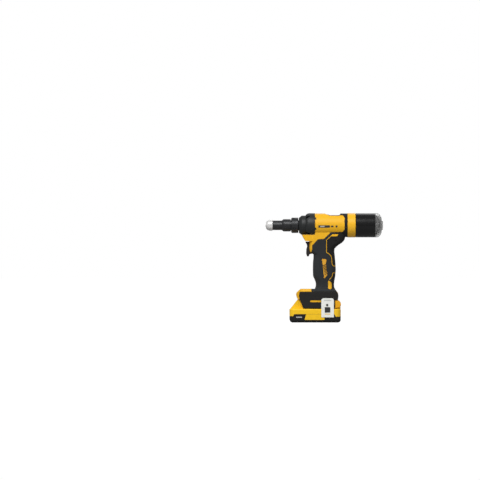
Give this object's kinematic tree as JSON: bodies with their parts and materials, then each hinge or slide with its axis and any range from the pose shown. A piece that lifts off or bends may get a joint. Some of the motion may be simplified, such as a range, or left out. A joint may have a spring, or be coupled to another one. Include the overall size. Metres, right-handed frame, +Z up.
{
  "type": "battery rivet tool",
  "caption": "Pistol-grip battery rivet tool with a stepped nose, geared pull screw, stem canister, trigger and slide-on battery foot.",
  "frame": {"origin": "middle of the face that the battery stands on", "axes": "+Z up; the nose points along -X and the stem is pulled along +X; Y is the width"},
  "size_m": [0.2675, 0.0775, 0.2486],
  "materials": {
    "shell_yellow": "fine moulded texture",
    "grip_rubber": "matt soft overmould",
    "palm_rubber": "matt soft overmould",
    "inlay": "hexagon texture",
    "foot_plastic": "fine moulded texture",
    "nose_steel": "turned",
    "casing_steel": "black oxide",
    "gear_case": "cast and painted",
    "machined_steel": "machined",
    "fasteners": "black oxide",
    "winding_copper": "enamelled wire",
    "board_green": "circuit board",
    "black_plastic": "moulded",
    "trigger_plastic": "moulded",
    "light_lens": "clear lens",
    "wire_red": "insulation",
    "ring_yellow": "moulded",
    "canister_black": "polished",
    "cap_smoke": "smoky translucent",
    "battery_yellow": "moulded",
    "battery_black": "moulded",
    "cell_wrap": "shrink wrap",
    "latch_orange": "moulded",
    "tag_card": "coated card"
  },
  "bodies": {
    "root": {"housing_left": "shell_yellow", "housing_right": "shell_yellow", "housing_screws": "fasteners", "grip_cover_left": "grip_rubber", "grip_cover_right": "grip_rubber", "palm_pad_left": "palm_rubber", "palm_pad_right": "palm_rubber", "grip_inlays": "inlay", "foot_panel_left": "foot_plastic", "foot_panel_right": "foot_plastic", "nose_piece": "nose_steel", "nose_casing": "casing_steel", "casing_lock_nut": "casing_steel", "front_adapter": "gear_case", "front_housing": "gear_case", "front_housing_screws": "fasteners", "nut_bearings": "machined_steel", "drive_bearings": "machined_steel", "ring_gear": "machined_steel", "motor_stator": "machined_steel", "motor_windings": "winding_copper", "gear_plate": "machined_steel", "stem_guide": "machined_steel", "trigger_switch": "black_plastic", "work_light": "light_lens", "control_board": "board_green", "terminal_block": "black_plastic", "wiring": "wire_red", "canister_adapter": "black_plastic", "tag_rivet": "machined_steel", "trigger_spring": "machined_steel"},
    "trigger": {"trigger": "trigger_plastic"},
    "screw": {"pull_screw": "machined_steel", "jaw_case": "machined_steel", "jaw_spring": "machined_steel"},
    "jaw_a": {"jaw_1": "machined_steel"},
    "jaw_b": {"jaw_2": "machined_steel"},
    "jaw_c": {"jaw_3": "machined_steel"},
    "pusher": {"jaw_pusher": "machined_steel"},
    "nut": {"ball_nut": "machined_steel", "nut_gear": "machined_steel"},
    "carrier": {"output_pinion": "machined_steel"},
    "planet_a": {"planet_gear_1": "machined_steel"},
    "planet_b": {"planet_gear_2": "machined_steel"},
    "planet_c": {"planet_gear_3": "machined_steel"},
    "rotor": {"motor_rotor": "machined_steel", "motor_fan": "black_plastic"},
    "ring": {"lock_ring": "ring_yellow"},
    "canister": {"canister": "canister_black", "canister_seal": "palm_rubber", "canister_cap": "cap_smoke"},
    "battery": {"battery_base": "battery_black", "battery_top": "battery_yellow", "battery_cells": "cell_wrap", "pack_board": "board_green", "latch_spring_left": "machined_steel", "latch_spring_right": "machined_steel"},
    "latch_left": {"latch_button_left": "latch_orange"},
    "latch_right": {"latch_button_right": "latch_orange"},
    "tag": {"hang_tag": "tag_card"}
  },
  "joints": [
    {"name": "trigger_pull", "type": "slide", "parent": "root", "child": "trigger", "axis": [1, 0, 0], "range_m": [0, 0.006], "stiffness_N_per_m": 400, "springref_m": -0.004, "deforming": ["trigger_spring"]},
    {"name": "screw_pull", "type": "slide", "parent": "root", "child": "screw", "axis": [1, 0, 0], "range_m": [0, 0.025]},
    {"name": "nut_spin", "type": "hinge", "parent": "root", "child": "nut", "pos_m": [0, 0, 0.221], "axis": [1, 0, 0], "range_deg": [0, 1800]},
    {"name": "carrier_spin", "type": "hinge", "parent": "root", "child": "carrier", "pos_m": [0.01, 0, 0.19], "axis": [1, 0, 0], "continuous": true},
    {"name": "rotor_spin", "type": "hinge", "parent": "root", "child": "rotor", "pos_m": [0.03, 0, 0.19], "axis": [1, 0, 0], "continuous": true},
    {"name": "planet_a_spin", "type": "hinge", "parent": "carrier", "child": "planet_a", "pos_m": [0.0142, 0, 0.1975], "axis": [1, 0, 0], "continuous": true},
    {"name": "planet_b_spin", "type": "hinge", "parent": "carrier", "child": "planet_b", "pos_m": [0.0142, -0.0065, 0.18625], "axis": [1, 0, 0], "continuous": true},
    {"name": "planet_c_spin", "type": "hinge", "parent": "carrier", "child": "planet_c", "pos_m": [0.0142, 0.0065, 0.18625], "axis": [1, 0, 0], "continuous": true},
    {"name": "jaw_a_slide", "type": "slide", "parent": "screw", "child": "jaw_a", "axis": [-0.9877, 0, -0.1564], "range_m": [0, 0.0035]},
    {"name": "jaw_b_slide", "type": "slide", "parent": "screw", "child": "jaw_b", "axis": [-0.9877, 0.1355, 0.0782], "range_m": [0, 0.0035]},
    {"name": "jaw_c_slide", "type": "slide", "parent": "screw", "child": "jaw_c", "axis": [-0.9877, -0.1355, 0.0782], "range_m": [0, 0.0035]},
    {"name": "pusher_slide", "type": "slide", "parent": "screw", "child": "pusher", "axis": [-1, 0, 0], "range_m": [0, 0.00346], "deforming": ["jaw_spring"]},
    {"name": "lock_ring_turn", "type": "hinge", "parent": "root", "child": "ring", "pos_m": [0.083, 0, 0.221], "axis": [1, 0, 0], "range_deg": [0, 40]},
    {"name": "canister_slide", "type": "slide", "parent": "root", "child": "canister", "axis": [1, 0, 0], "range_m": [0, 0.06]},
    {"name": "battery_slide", "type": "slide", "parent": "root", "child": "battery", "axis": [1, 0, 0], "range_m": [0, 0.1]},
    {"name": "latch_left_press", "type": "slide", "parent": "battery", "child": "latch_left", "axis": [0, 1, 0], "range_m": [0, 0.0025], "stiffness_N_per_m": 600, "springref_m": -0.002, "deforming": ["latch_spring_left"]},
    {"name": "latch_right_press", "type": "slide", "parent": "battery", "child": "latch_right", "axis": [0, -1, 0], "range_m": [0, 0.0025], "stiffness_N_per_m": 600, "springref_m": -0.002, "deforming": ["latch_spring_right"]},
    {"name": "tag_swing", "type": "hinge", "parent": "root", "child": "tag", "pos_m": [0.0267, -0.0385, 0.04], "axis": [0, 1, 0], "range_deg": [-70, 70]}
  ],
  "couplings": [
    {"joint": "nut_spin", "follows": "screw_pull", "rad_per_m": 1256.6},
    {"joint": "carrier_spin", "follows": "screw_pull", "rad_per_m": -1989.7},
    {"joint": "rotor_spin", "follows": "screw_pull", "rad_per_m": -9948.4},
    {"joint": "planet_a_spin", "follows": "screw_pull", "rad_per_m": 5305.8},
    {"joint": "planet_b_spin", "follows": "screw_pull", "rad_per_m": 5305.8},
    {"joint": "planet_c_spin", "follows": "screw_pull", "rad_per_m": 5305.8},
    {"joint": "jaw_a_slide", "follows": "screw_pull", "ratio": 0.14},
    {"joint": "jaw_b_slide", "follows": "screw_pull", "ratio": 0.14},
    {"joint": "jaw_c_slide", "follows": "screw_pull", "ratio": 0.14},
    {"joint": "pusher_slide", "follows": "screw_pull", "ratio": 0.13828}
  ]
}
